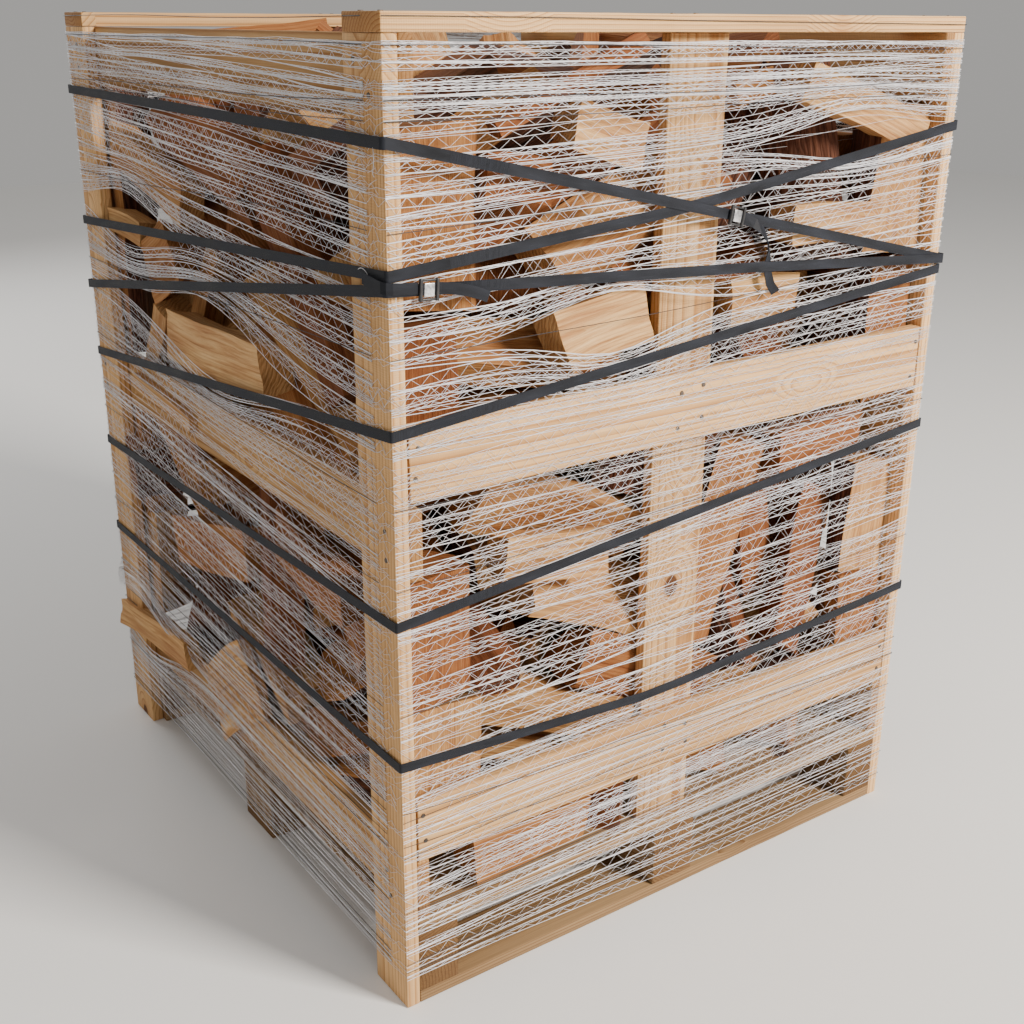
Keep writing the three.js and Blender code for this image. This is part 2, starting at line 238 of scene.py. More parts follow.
def worn_board(node, seed, face, end):
    """The board's solid with its flat faces cut into short lengths, worn edges and a slight saw wander."""
    draw = random.Random(seed)
    bm = bmesh.new()
    bm.from_mesh(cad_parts[node].data)
    bmesh.ops.remove_doubles(bm, verts=bm.verts, dist=0.00002)
    bmesh.ops.dissolve_limit(bm, angle_limit=0.02, verts=bm.verts, edges=bm.edges)
    low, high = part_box(node)
    size = high - low
    order = sorted(range(3), key=lambda axis: -size[axis])
    long_edges = [e for e in bm.edges if abs((e.verts[0].co - e.verts[1].co)[order[0]]) > 0.6 * size[order[0]]]
    cuts = max(1, int(size[order[0]] / BOARD_STEP))
    bmesh.ops.subdivide_edges(bm, edges=long_edges, cuts=cuts, use_grid_fill=True)
    ridges = [e for e in bm.edges if e.calc_face_angle(0) > 1.0]
    bmesh.ops.bevel(bm, geom=ridges, offset=EDGE_WEAR, segments=2, profile=0.5, affect="EDGES", material=-1)
    grain = bm.verts.layers.float_vector.new("grain")
    tint = bm.verts.layers.float.new("tint")
    pith = Vector((draw.uniform(-9, 9), draw.uniform(-0.05, 0.05), draw.choice((-1, 1)) * draw.uniform(0.03, 0.11)))
    shade = draw.random()
    middle = (low + high) / 2
    for vertex in bm.verts:
        place = vertex.co - middle
        vertex[grain] = Vector((place[order[0]], place[order[1]], place[order[2]])) + pith
        vertex[tint] = shade
        wander = noise.noise_vector(vertex.co * 9 + Vector((seed, 0, 0)))
        for axis in order[1:]:
            inward = -1 if place[axis] > 0 else 1
            vertex.co[axis] += inward * WAVE * abs(wander[axis])
    for patch in bm.faces:
        patch.smooth = True
        patch.material_index = 1 if abs(patch.normal[order[0]]) > 0.8 else 0
    piece = make_piece(node + "_board", bm, face, end)
    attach(piece, "root")
    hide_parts(node)
    return piece


CRATE_PARTS = ("corner_post", "side_rail", "end_rail", "mid_post", "top_board")
PALLET_PARTS = ("base_board", "block", "stringer", "deck_board")
for seed, node in enumerate(sorted(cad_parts)):
    if node.startswith(CRATE_PARTS):
        worn_board(node, seed, crate_face, crate_end)
    if node.startswith(PALLET_PARTS):
        worn_board(node, seed, pallet_face, pallet_end)


# ---- Firewood ----------------------------------------------------------------------------------------------
# Split hardwood chunks, 25 to 33 cm long: wedges with the heart at their thin edge, slabs and thin splints.
# They have torn split faces, sawn ends with year rings, and bark on some of their round sides.

def split_wood(name, kind):
    """kind is split, end or bark. All read the chunk's own grain coordinates: x along the fibres, the heart on the x axis."""
    material = bpy.data.materials.new(name)
    tree, shader = node_tree(material)
    grain = add_node(tree, "ShaderNodeAttribute", attribute_name="grain").outputs["Vector"]
    tint = add_node(tree, "ShaderNodeAttribute", attribute_name="tint").outputs["Fac"]
    streaks = add_node(tree, "ShaderNodeTexNoise",
                       {"Vector": scaled(tree, grain, (9, 190, 190)), "Detail": 7.0, "Roughness": 0.62, "Distortion": 0.3,
                        "Scale": 1.0}).outputs["Fac"]
    patches = add_node(tree, "ShaderNodeTexNoise",
                       {"Vector": scaled(tree, grain, (5, 22, 22)), "Detail": 4.0, "Scale": 1.0}).outputs["Fac"]
    rings = add_node(tree, "ShaderNodeTexWave",
                     {"Vector": scaled(tree, grain, (0.1, 1, 1)), "Scale": 105.0, "Distortion": 2.6, "Detail": 3.0,
                      "Detail Scale": 0.4}, wave_type="RINGS", rings_direction="X", wave_profile="SAW").outputs["Fac"]
    if kind == "bark":
        furrows = add_node(tree, "ShaderNodeTexVoronoi",
                           {"Vector": scaled(tree, grain, (16, 130, 130)), "Scale": 1.0},
                           feature="DISTANCE_TO_EDGE").outputs["Distance"]
        colour = ramp(tree, streaks, (0.3, (0.040, 0.016, 0.010, 1)), (0.55, (0.13, 0.052, 0.030, 1)),
                      (0.75, (0.24, 0.13, 0.08, 1)))
        # The colour is multiplied darker down in the furrows: partly the bark's own darker cracks, partly painted shade
        # in them.
        colour = blend(tree, "MULTIPLY", 1.0, colour,
                       ramp(tree, furrows, (0.0, (0.5, 0.42, 0.38, 1)), (0.2, (1.1, 1.05, 1, 1))))
        colour = blend(tree, "MIX", ramp(tree, patches, (0.55, (0, 0, 0, 1)), (0.72, (0.6, 0.6, 0.6, 1))), colour,
                       (0.25, 0.18, 0.13, 1))
        height = calc(tree, "ADD", calc(tree, "MINIMUM", furrows, 0.3), calc(tree, "MULTIPLY", streaks, 0.5))
        reach, rough = 0.006, 0.9
    elif kind == "end":
        colour = ramp(tree, rings, (0.0, (0.54, 0.35, 0.175, 1)), (0.7, (0.50, 0.31, 0.15, 1)),
                      (0.95, (0.42, 0.245, 0.115, 1)))
        scores = add_node(tree, "ShaderNodeTexWave",
                          {"Vector": scaled(tree, grain, (0, 1, 0.6)), "Scale": 95.0, "Distortion": 4.0, "Detail": 2.0},
                          wave_type="BANDS", bands_direction="DIAGONAL").outputs["Fac"]
        colour = blend(tree, "MULTIPLY", 1.0, colour, ramp(tree, patches, (0.3, (0.55, 0.45, 0.36, 1)),
                                                          (0.65, (1.0, 0.97, 0.92, 1))))
        colour = blend(tree, "MULTIPLY", 0.6, colour, ramp(tree, scores, (0.0, (0.6, 0.55, 0.5, 1)), (0.5, (1, 1, 1, 1))))
        height = calc(tree, "ADD", calc(tree, "MULTIPLY", scores, 0.6), calc(tree, "MULTIPLY", rings, 0.3))
        reach, rough = 0.0015, 0.85
    else:
        colour = ramp(tree, streaks, (0.22, (0.26, 0.115, 0.045, 1)), (0.42, (0.50, 0.28, 0.12, 1)),
                      (0.58, (0.65, 0.42, 0.20, 1)), (0.8, (0.76, 0.55, 0.31, 1)))
        colour = blend(tree, "MULTIPLY", 0.5, colour, ramp(tree, rings, (0.5, (1, 1, 1, 1)), (0.95, (0.62, 0.48, 0.36, 1))))
        heart = ramp(tree, patches, (0.45, (0, 0, 0, 1)), (0.75, (0.55, 0.55, 0.55, 1)))
        colour = blend(tree, "MIX", heart, colour, (0.32, 0.13, 0.055, 1))
        height = calc(tree, "ADD", streaks, calc(tree, "MULTIPLY", rings, 0.15))
        reach, rough = 0.0045, 0.8
    if kind != "bark":
        colour = blend(tree, "MULTIPLY", 1.0, colour,
                       ramp(tree, tint, (0.0, (0.24, 0.12, 0.085, 1)), (0.25, (0.46, 0.27, 0.19, 1)),
                            (0.5, (0.72, 0.54, 0.40, 1)), (0.8, (1.0, 0.92, 0.80, 1)), (1.0, (1.12, 1.10, 1.06, 1))))
    tree.links.new(colour, shader.inputs["Base Color"])
    shader.inputs["Roughness"].default_value = rough
    shader.inputs["Specular IOR Level"].default_value = 0.25
    bump = add_node(tree, "ShaderNodeBump", {"Height": height, "Strength": 0.75, "Distance": reach})
    tree.links.new(bump.outputs["Normal"], shader.inputs["Normal"])
    return material


FIREWOOD_FINISHES = [split_wood("split_face", "split"), split_wood("sawn_log_end", "end"), split_wood("log_bark", "bark")]
SPLIT, SAWN, BARK = range(3)


def log_shape(name, length, outline, bark_edges, tone, start, heart=(0.0, 0.0)):
    """A plain chunk along x, centred on the origin. The outline is its section in metres, measured from the
    heart; bark_edges are the numbers of the outline's stretches that carry bark."""
    bm = bmesh.new()
    grain = bm.verts.layers.float_vector.new("grain")
    tint = bm.verts.layers.float.new("tint")
    count = len(outline)
    centre = sum((Vector((0, y, z)) for y, z in outline), Vector()) / count
    corners = [bm.verts.new(Vector((-length / 2, y, z)) - centre) for y, z in outline]
    grown = bmesh.ops.extrude_face_region(bm, geom=[bm.faces.new(corners)])["geom"]
    bmesh.ops.translate(bm, verts=[v for v in grown if isinstance(v, bmesh.types.BMVert)], vec=(length, 0, 0))
    bmesh.ops.recalc_face_normals(bm, faces=bm.faces)
    middles = [(Vector((0, *outline[i])) + Vector((0, *outline[(i + 1) % count]))) / 2 - centre for i in bark_edges]
    for patch in bm.faces:
        patch.smooth = True
        middle = patch.calc_center_median()
        if abs(patch.normal.x) > 0.9:
            patch.material_index = SAWN
        elif any((Vector((0, middle.y, middle.z)) - at).length < 0.001 for at in middles):
            patch.material_index = BARK
    for edge in bm.edges:
        edge.smooth = edge.calc_face_angle(0) < math.radians(40)
    for vertex in bm.verts:
        vertex[grain] = vertex.co + centre + Vector((start, *heart))
        vertex[tint] = tone
    return make_piece(name, bm, *FIREWOOD_FINISHES)


FACET = 0.016
FIBRE_STEP = 0.03


def roughen(log, draw):
    """Cuts a plain chunk into facets, then gives it torn faces, a slight twist and bow, and uneven ends."""
    bm = bmesh.new()
    bm.from_mesh(log.data)
    lengthwise = [e for e in bm.edges if abs(e.verts[0].co.x - e.verts[1].co.x) > 0.01]
    length = max(e.calc_length() for e in lengthwise)
    bmesh.ops.subdivide_edges(bm, edges=lengthwise, cuts=max(2, int(length / FIBRE_STEP)), use_grid_fill=True)
    for cuts in (2, 1):
        wide = [e for e in bm.edges if abs(e.verts[0].co.x - e.verts[1].co.x) < 0.001 and e.calc_length() > FACET * cuts]
        bmesh.ops.subdivide_edges(bm, edges=wide, cuts=cuts, use_grid_fill=True)
    twist = draw.uniform(-0.16, 0.16)
    bow = draw.uniform(-0.005, 0.005)
    tilts = [draw.uniform(-0.12, 0.12) for _ in range(4)]
    seed = Vector((draw.uniform(-99, 99), draw.uniform(-99, 99), draw.uniform(-99, 99)))
    for vertex in bm.verts:
        place = vertex.co.copy()
        share = place.x / length
        wave = noise.noise_vector(Vector((place.x * 4, place.y * 45, place.z * 45)) + seed) * 0.003
        wave += noise.noise_vector(Vector((place.x * 7, place.y * 16, place.z * 16)) - seed) * 0.005
        splinter = noise.noise_vector(Vector((place.x * 14, place.y * 120, place.z * 120)) + seed) * 0.0016
        place += Vector((0, wave.y + splinter.y, wave.z + splinter.z))
        place = Matrix.Rotation(twist * share, 3, "X") @ place
        place.z += bow * (1 - 4 * share * share)
        end = 0 if share < 0 else 2
        place.x += (tilts[end] * place.y + tilts[end + 1] * place.z) * abs(share) * 2
        vertex.co = place
    bmesh.ops.triangulate(bm, faces=[f for f in bm.faces if len(f.verts) > 4])
    bm.to_mesh(log.data)
    bm.free()
    return log


def arc(radius, start, stop, steps):
    angles = [start + (stop - start) * i / steps for i in range(steps + 1)]
    return [(radius * math.cos(a), radius * math.sin(a)) for a in angles]


def draw_log(name, draw, lengths=(0.25, 0.34)):
    """A plain chunk of a drawn kind and size."""
    length = draw.uniform(*lengths)
    tone = draw.choice((draw.uniform(0.0, 0.35), draw.uniform(0.2, 0.55), draw.uniform(0.5, 1.0)))
    start = draw.uniform(-50, 50)
    kind = draw.random()
    if kind < 0.55:
        radius, half = draw.uniform(0.075, 0.115), math.radians(draw.uniform(20, 42))
        cut = draw.uniform(0.05, 0.4) * radius
        outline = arc(radius, -half, half, 4)
        outline += [(cut * math.cos(half), cut * math.sin(half)), (cut * math.cos(half), -cut * math.sin(half))]
        bark = range(4) if draw.random() < 0.6 else ()
    elif kind < 0.85:
        near, far = 0.03, 0.03 + draw.uniform(0.035, 0.06)
        wide = draw.uniform(0.038, 0.06)
        outline = [(near, -wide), (far, -wide * draw.uniform(0.7, 1)), (far + 0.004, 0),
                   (far, wide * draw.uniform(0.7, 1)), (near, wide)]
        bark = (1, 2) if draw.random() < 0.5 else ()
    else:
        near, far, wide = 0.04, 0.04 + draw.uniform(0.02, 0.034), draw.uniform(0.018, 0.034)
        outline = [(near, -wide), (far, -wide * 0.8), (far, wide), (near, wide * 0.9)]
        bark = ()
    return log_shape(name, length, outline, bark, tone, start)


def faced_log(name, side, face, out, deep, pinch, tone, seed, bark=()):
    """A chunk that shows one split face on a side of the crate. The face is four corners in millimetres, along
    the side and up, with its sawn ends from the second to the third corner and from the last to the first;
    out is how far behind the side it starts, deep how thick it is, pinch how much narrower its back is."""
    draw = random.Random(seed)
    first, second, third, last = (Vector(corner) / 1000 for corner in face)
    run = ((second - first) + (third - last)) / 2
    length = run.length
    run.normalize()
    across = Vector((-run.y, run.x))
    middle = (first + second + third + last) / 4
    tops = [abs((corner - middle).dot(across)) for corner in (first, second, third, last)]
    high, low = (tops[0] + tops[1]) / 2, (tops[2] + tops[3]) / 2
    sign = 1 if (first - middle).dot(across) > 0 else -1
    outline = [(0.0, sign * high), (0.0, -sign * low), (deep, -sign * low * pinch), (deep, sign * high * pinch)]
    heart = (draw.uniform(0.03, 0.07), draw.uniform(-0.03, 0.03))
    log = roughen(log_shape(name, length, outline, bark, tone, draw.uniform(-50, 50), heart), draw)
    # The section's y points into the crate and its z along the side's own across direction.
    centre_in = deep / 2 + out / 1000
    if side == "left":
        axes = Matrix(((0, 1, 0), (run.x, 0, across.x), (run.y, 0, across.y)))
        place = foot + Vector((centre_in, middle.x, middle.y))
    else:
        axes = Matrix(((run.x, 0, across.x), (0, 1, 0), (run.y, 0, across.y)))
        place = foot + Vector((middle.x, centre_in, middle.y))
    log.data.transform(Matrix.Translation(place) @ axes.to_4x4())
    if axes.determinant() < 0:
        log.data.flip_normals()
    return log


# The chunks that lie at the net on the left side and the front: name, side, face corners, how far in,
# thickness, narrowing to the back, tone.
SHOWN_LOGS = [
    ("chunk_left_broad", "left", [(649, 817), (323, 822), (380, 749), (722, 732)], 6, 0.045, 0.8, 0.95),
    ("chunk_left_splint", "left", [(850, 676), (618, 657), (638, 634), (860, 657)], 5, 0.02, 0.8, 0.9),
    ("chunk_left_upper", "left", [(878, 845), (779, 900), (530, 911), (640, 861)], 10, 0.035, 0.5, 0.5),
    ("chunk_left_face", "left", [(764, 375), (448, 455), (448, 525), (690, 480)], 6, 0.05, 0.7, 0.5),
    ("chunk_left_low", "left", [(1005, 220), (660, 262), (710, 202), (1005, 172)], -12, 0.026, 0.8, 0.8),
    ("chunk_left_slipped", "left", [(736, 168), (520, 316), (380, 266), (470, 194)], 2, 0.016, 0.9, 0.85),
    ("chunk_front_wedge", "front", [(253, 1143), (376, 1110), (350, 1061), (262, 1080)], 8, 0.05, 0.6, 0.95),
    ("chunk_front_slanted", "front", [(145, 1122), (352, 1212), (352, 1190), (145, 1098)], 4, 0.018, 0.8, 0.2),
    ("chunk_front_broad", "front", [(608, 1182), (865, 1100), (860, 1042), (640, 1120)], 6, 0.04, 0.8, 0.85),
    ("chunk_front_middle", "front", [(230, 900), (374, 927), (374, 850), (250, 818)], 6, 0.045, 0.7, 0.9),
    ("log_left_high", "left", [(850, 1080), (600, 1010), (590, 940), (855, 1010)], 6, 0.04, 0.7, 0.7),
    ("log_left_ochre", "left", [(930, 940), (790, 930), (760, 885), (880, 905)], 8, 0.04, 0.7, 0.8),
    ("log_left_shade", "left", [(350, 600), (160, 560), (150, 485), (340, 525)], 8, 0.04, 0.7, 0.35),
    ("log_front_low_pale", "front", [(602, 998), (797, 985), (790, 937), (640, 940)], 6, 0.045, 0.7, 0.85),
    ("log_front_rust", "front", [(132, 1090), (228, 1070), (225, 1025), (140, 1030)], 14, 0.05, 0.6, 0.25),
    ("log_front_post_side", "front", [(520, 911), (640, 900), (640, 850), (520, 838)], 12, 0.05, 0.7, 0.8),
    ("log_front_under_rail", "front", [(161, 630), (330, 600), (320, 544), (165, 560)], 8, 0.05, 0.7, 0.75),
    ("log_front_dark_right", "front", [(617, 680), (800, 691), (790, 630), (640, 613)], 8, 0.05, 0.7, 0.3),
    ("log_front_pink", "front", [(110, 215), (300, 209), (300, 150), (115, 140)], 8, 0.05, 0.7, 0.5),
]
shown = [faced_log(name + "_wood", side, face, out, deep, pinch, tone, 40 + i)
         for i, (name, side, face, out, deep, pinch, tone) in enumerate(SHOWN_LOGS)]

# The rest are tipped in and come to rest on each other, inside the boards and the tight net.
PILE_SEED = 7
LAYERS = 36
LAYER_RISE = 0.11
SETTLE_FRAMES = 90
JOLT_FRAMES = 8
JOLT = 9.0
JOLTS = ((-1, -1), (1, 1), (-1, 1), (1, -1))
CELL = (0.215, 0.31)

draw = random.Random(PILE_SEED)
scene = bpy.context.scene
inside_low = on_crate(4, 4, 131)
inside_high = on_crate(916, 996, 1200)
loose = []
for layer in range(LAYERS):
    turned = layer % 2 == 1
    step = (CELL[1], CELL[0]) if turned else CELL
    counts = [int((inside_high[axis] - inside_low[axis]) / step[axis]) for axis in (0, 1)]
    for i in range(counts[0]):
        for j in range(counts[1]):
            log = draw_log(f"log_{len(loose)}", draw)
            centre = Vector((inside_low.x + (inside_high.x - inside_low.x) * (i + 0.5) / counts[0],
                             inside_low.y + (inside_high.y - inside_low.y) * (j + 0.5) / counts[1],
                             inside_low.z + LAYER_RISE * (layer + 0.5)))
            heading = draw.gauss(0, 0.35) + (0 if turned else math.pi / 2)
            log.rotation_mode = "XYZ"
            log.rotation_euler = (draw.uniform(-math.pi, math.pi), draw.gauss(0, 0.2), heading)
            log.location = centre
            loose.append(log)

# Quartered chunks that stand in the corners between the rails, with the heart in the corner, where tipped
# ones seldom come to lie: the height of each one's foot above the ground and its length, in millimetres.
STANDING = [(224, 188), (416, 184), (699, 208), (911, 205)]
CORNER_HEARTS = [on_crate(25, 23, 0), on_crate(895, 23, 0), on_crate(895, 977, 0), on_crate(25, 977, 0)]
standing = []
for corner, heart in enumerate(CORNER_HEARTS):
    for rise, length in STANDING:
        outline = arc(draw.uniform(0.08, 0.105), 0.0, math.pi / 2, 5) + [(0.0, 0.0)]
        middle = sum((Vector((y, z, 0)) for y, z in outline), Vector()) / len(outline)
        bark = range(5) if draw.random() < 0.6 else ()
        log = log_shape(f"standing_{len(standing)}", length / 1000, outline, bark, draw.uniform(0.1, 0.9), 0.0)
        upright = Matrix(((0, 1, 0), (0, 0, 1), (1, 0, 0))).to_4x4()
        turn = Matrix.Rotation(corner * math.pi / 2 + draw.uniform(-0.06, 0.06), 4, "Z")
        place = heart + turn @ middle + Vector((0, 0, (rise + length / 2) / 1000))
        log.matrix_world = Matrix.Translation(place) @ turn @ upright
        standing.append(log)

# More quartered chunks lie beside three of those corners, one above another along the right side and the back:
# the heading and the middle of each row at its height, and the heights, in millimetres. The inner rows
# break joint with the outer ones.
LYING = [(math.pi / 2, on_crate(851, 268, 0)), (math.pi / 2, on_crate(758, 275, 46)),
         (0.0, on_crate(268, 934, 0)), (0.0, on_crate(262, 841, 46)),
         (math.pi / 2, on_crate(851, 732, 0)), (0.0, on_crate(640, 934, 0))]
LYING_RISES = (268, 360, 452, 544, 745, 837, 929, 1021)
for heading, at in LYING:
    for rise in LYING_RISES:
        wide = draw.uniform(0.088, 0.091)
        outline = [(0, 0), (wide, 0), (wide * 1.03, wide * 0.62), (wide * 0.66, wide), (0, wide * 1.02)]
        bark = (1, 2, 3) if draw.random() < 0.6 else ()
        length = draw.uniform(0.258, 0.272)
        log = log_shape(f"standing_{len(standing)}", length, outline, bark, draw.uniform(0.1, 0.9), 0.0)
        roll = Matrix.Rotation(draw.randrange(4) * math.pi / 2 + draw.uniform(-0.06, 0.06), 4, "X")
        lean = Matrix.Rotation(heading + draw.uniform(-0.04, 0.04), 4, "Z")
        log.matrix_world = Matrix.Translation(at + Vector((0, 0, rise / 1000))) @ lean @ roll
        standing.append(log)

bpy.ops.rigidbody.world_add()
scene.rigidbody_world.substeps_per_frame = 8
scene.rigidbody_world.solver_iterations = 14
scene.rigidbody_world.point_cache.frame_end = SETTLE_FRAMES


def make_rigid(piece, kind, shape):
    bpy.context.view_layer.objects.active = piece
    bpy.ops.rigidbody.object_add(type=kind)
    piece.rigid_body.collision_shape = shape
    piece.rigid_body.friction = 0.45
    piece.rigid_body.restitution = 0.0
    piece.rigid_body.use_margin = True
    piece.rigid_body.collision_margin = 0.0008
    if kind == "ACTIVE":
        piece.rigid_body.mass = 1.3
        piece.rigid_body.linear_damping = 0.1
        piece.rigid_body.angular_damping = 0.35


def block_between(low, high):
    bm = bmesh.new()
    bmesh.ops.create_cube(bm, size=1.0)
    place = Matrix.Translation((low + high) / 2) @ Matrix.Diagonal((*(high - low), 1.0))
    block = make_piece("block_between", bm)
    block.matrix_world = place
    return block


WALL = 0.3
SHAFT_TOP = 5.0
low, high = inside_low, Vector((inside_high.x, inside_high.y, SHAFT_TOP))
guards = [
    block_between(Vector((low.x - WALL, low.y - WALL, low.z)), Vector((low.x, high.y + WALL, high.z))),
    block_between(Vector((high.x, low.y - WALL, low.z)), Vector((high.x + WALL, high.y + WALL, high.z))),
    block_between(Vector((low.x - WALL, low.y - WALL, low.z)), Vector((high.x + WALL, low.y, high.z))),
    block_between(Vector((low.x - WALL, high.y, low.z)), Vector((high.x + WALL, high.y + WALL, high.z))),
    block_between(Vector((low.x, low.y, low.z - WALL)), Vector((high.x, high.y, low.z))),
]
for node in sorted(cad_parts):
    if node.startswith(("side_rail", "end_rail", "mid_post")):
        guards.append(block_between(*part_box(node)))
for guard in guards:
    make_rigid(guard, "PASSIVE", "BOX")
for log in (*shown, *standing):
    make_rigid(log, "PASSIVE", "CONVEX_HULL")
for log in loose:
    make_rigid(log, "ACTIVE", "CONVEX_HULL")
for moment in range(1, SETTLE_FRAMES + 1):
    # The load is shaken towards each corner in turn, which packs the chunks into the corners.
    jolt = JOLTS[moment // JOLT_FRAMES % len(JOLTS)] if JOLT_FRAMES < moment < SETTLE_FRAMES - JOLT_FRAMES else (0, 0)
    scene.gravity = (jolt[0] * JOLT, jolt[1] * JOLT, -9.81)
    scene.frame_set(moment)
scene.gravity = (0, 0, -9.81)
settled = bpy.context.evaluated_depsgraph_get()
rest_places = [log.evaluated_get(settled).matrix_world.copy() for log in (*loose, *standing)]
bpy.ops.rigidbody.world_remove()
scene.frame_set(1)
for guard in guards:
    bpy.data.objects.remove(guard)

# Chunks that would stand above the rim are left out; the others are joined in layers, lowest first.
RIM_CLEARANCE = 0.003
LAYER_COUNT = 8
SEEN_DEPTH = 0.24
layers = [[] for _ in range(LAYER_COUNT)]
for log, place in zip((*loose, *standing), rest_places):
    middle = place.translation
    depths = (middle.x - inside_low.x, inside_high.x - middle.x, middle.y - inside_low.y, inside_high.y - middle.y,
              inside_high.z - middle.z)
    if min(depths) < SEEN_DEPTH:
        roughen(log, draw)
    log.data.transform(place)
    log.matrix_basis = Matrix.Identity(4)
    top = max(vertex.co.z for vertex in log.data.vertices)
    if top > cad_high.z - RIM_CLEARANCE:
        bpy.data.objects.remove(log)
        continue
    share = (place.translation.z - inside_low.z) / (inside_high.z - inside_low.z)
    layers[min(LAYER_COUNT - 1, max(0, int(share * LAYER_COUNT)))].append(log)
heaps = []
for number, logs in enumerate(layers):
    with bpy.context.temp_override(active_object=logs[0], object=logs[0], selected_editable_objects=logs,
                                   selected_objects=logs):
        bpy.ops.object.join()
    heap = logs[0]
    heap.name = f"firewood_layer_{number + 1}"
    heap.data.name = heap.name
    heaps.append(heap)
for piece in (*shown, *heaps):
    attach(piece, "root")
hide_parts("firewood_fill")
for log, (name, *_) in zip(shown, SHOWN_LOGS):
    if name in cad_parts:
        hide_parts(name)
for name in ("chunk_right_low", "chunk_top_tip"):
    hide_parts(name)

# ---- Net ---------------------------------------------------------------------------------------------------
# White knitted pallet net, wound round the sides in ten slanting turns. It is tight threads drawn into
# bunches, with a thin zigzag thread knitted between each two, and a few black marker threads.

WIDE, DEEP = 0.92, 1.0
CORNERS = (0.0, WIDE, WIDE + DEEP, 2 * WIDE + DEEP, 2 * WIDE + 2 * DEEP)
ROUND = CORNERS[-1]


def beside(way, out):
    """The point on the crate's sides, at floor height, that far round from its near corner and that far out."""
    way %= ROUND
    if way < CORNERS[1]:
        return foot + Vector((way, -out, 0))
    if way < CORNERS[2]:
        return foot + Vector((WIDE + out, way - CORNERS[1], 0))
    if way < CORNERS[3]:
        return foot + Vector((CORNERS[3] - way, DEEP + out, 0))
    return foot + Vector((-out, ROUND - way, 0))


def corner_mix(heights, way):
    """The height at a place between the four corners' heights: front left, front right, back right, back left."""
    way %= ROUND
    for side in range(4):
        if way <= CORNERS[side + 1]:
            share = (way - CORNERS[side]) / (CORNERS[side + 1] - CORNERS[side])
            return heights[side] + (heights[(side + 1) % 4] - heights[side]) * share
    return heights[0]


# Each turn of the wrap: the corner heights of its middle and its width, in millimetres.
TURNS = [
    ((1170, 1166, 1165, 1184), 84), ((1098, 1122, 1100, 1150), 165), ((1012, 1062, 1050, 1070), 240),
    ((908, 985, 960, 968), 280), ((806, 800, 850, 862), 270), ((690, 760, 700, 742), 280),
    ((575, 560, 590, 655), 280), ((440, 520, 470, 500), 280), ((330, 300, 330, 380), 280),
    ((205, 250, 220, 228), 240), ((125, 118, 130, 140), 170),
]
THREADS = 26
NET_TOP, NET_BOTTOM = 1214, 28

# Where the net is torn or spread apart by the load: way round, height, half width and half height of the
# gap, and how far the threads are pushed, in metres.
GAPS = [
    (ROUND - 0.50, 0.800, 0.22, 0.075, 0.055),
    (ROUND - 0.80, 0.935, 0.16, 0.06, 0.04),
    (ROUND - 0.90, 0.215, 0.16, 0.06, 0.05),
    (0.72, 1.085, 0.14, 0.05, 0.025),
    (0.31, 0.87, 0.12, 0.06, 0.03),
]


# How far out the threads are pushed by a chunk under them: way round, height, half sizes and push.
BULGES = [(ROUND - 0.86, 0.262, 0.2, 0.03, 0.012)]
CORNER_SPREAD = 0.0045
DRIFT, FLUTTER = 0.009, 0.0012
BUNCHING = 0.0045


def corner_shifts(turn, thread):
    """How far a thread lies above or below its even place at each corner, where it is caught on the post."""
    draw = random.Random(turn * 100 + thread)
    return [draw.gauss(0, CORNER_SPREAD) for _ in range(4)]


def thread_place(turn, thread, way, out, shifts):
    """The point of a thread that far round. It is straight between the posts, but for slow drifts."""
    heights, width = TURNS[turn]
    share = thread / (THREADS - 1) - 0.5
    height = corner_mix(heights, way) / 1000 + share * width / 1000 + corner_mix(shifts, way)
    x, y = beside(way, 0).xy
    height += DRIFT * noise.noise(Vector((x * 1.7, y * 1.7, height * 26 + turn * 5)))
    height += BUNCHING * noise.noise(Vector((x * 0.6, y * 0.6, height * 85 + turn * 3)))
    height += FLUTTER * noise.noise(Vector((x * 9, y * 9, thread * 3.1 + turn * 17)))
    for gap_way, gap_height, half_wide, half_high, push in GAPS:
        apart = abs(way - gap_way)
        apart = min(apart, ROUND - apart) / half_wide
        up = (height - gap_height) / half_high
        if apart < 2.2 and abs(up) < 3:
            straight = (corner_mix(heights, gap_way) + share * width) / 1000 + corner_mix(shifts, gap_way)
            side = 1 if straight > gap_height else -1
            height += push * math.exp(-apart * apart) * math.exp(-up * up) * side
    lowest = NET_BOTTOM / 1000 + 0.006 * noise.noise(Vector((x * 8, y * 8, thread)))
    highest = NET_TOP / 1000 - 0.012 * abs(noise.noise(Vector((x * 3, y * 3, thread * 0.7 + turn))))
    height = min(max(height, lowest + 0.0004 * thread), highest - 0.0006 * thread)
    for bulge_way, bulge_height, half_wide, half_high, push in BULGES:
        across, up = (way - bulge_way) / half_wide, (height - bulge_height) / half_high
        if abs(across) < 2 and abs(up) < 2:
            out += push * math.exp(-across ** 4) * math.exp(-up ** 4)
    place = beside(way, out)
    place.z = foot.z + height
    return place


def thread_curve(name, lines, thickness, material):
    """Round threads along lists of points, each point with its share of the thickness."""
    data = bpy.data.curves.new(name, "CURVE")
    data.dimensions = "3D"
    data.bevel_depth = thickness / 2
    data.bevel_resolution = 0
    data.materials.append(material)
    for line in lines:
        spline = data.splines.new("POLY")
        spline.points.add(len(line) - 1)
        spline.use_cyclic_u = len(line) > WHOLE_ROUND
        for point, (place, swell) in zip(spline.points, line):
            point.co = (*place, 1)
            point.radius = swell
    piece = bpy.data.objects.new(name, data)
    bpy.context.scene.collection.objects.link(piece)
    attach(piece, "root")
    return piece


WHOLE_ROUND = 100


def stations(step):
    """Ways round the crate, with a place at each corner."""
    ways = []
    for start, stop in zip(CORNERS, CORNERS[1:]):
        count = round((stop - start) / step)
        ways += [start + (stop - start) * i / count for i in range(count)]
    return ways


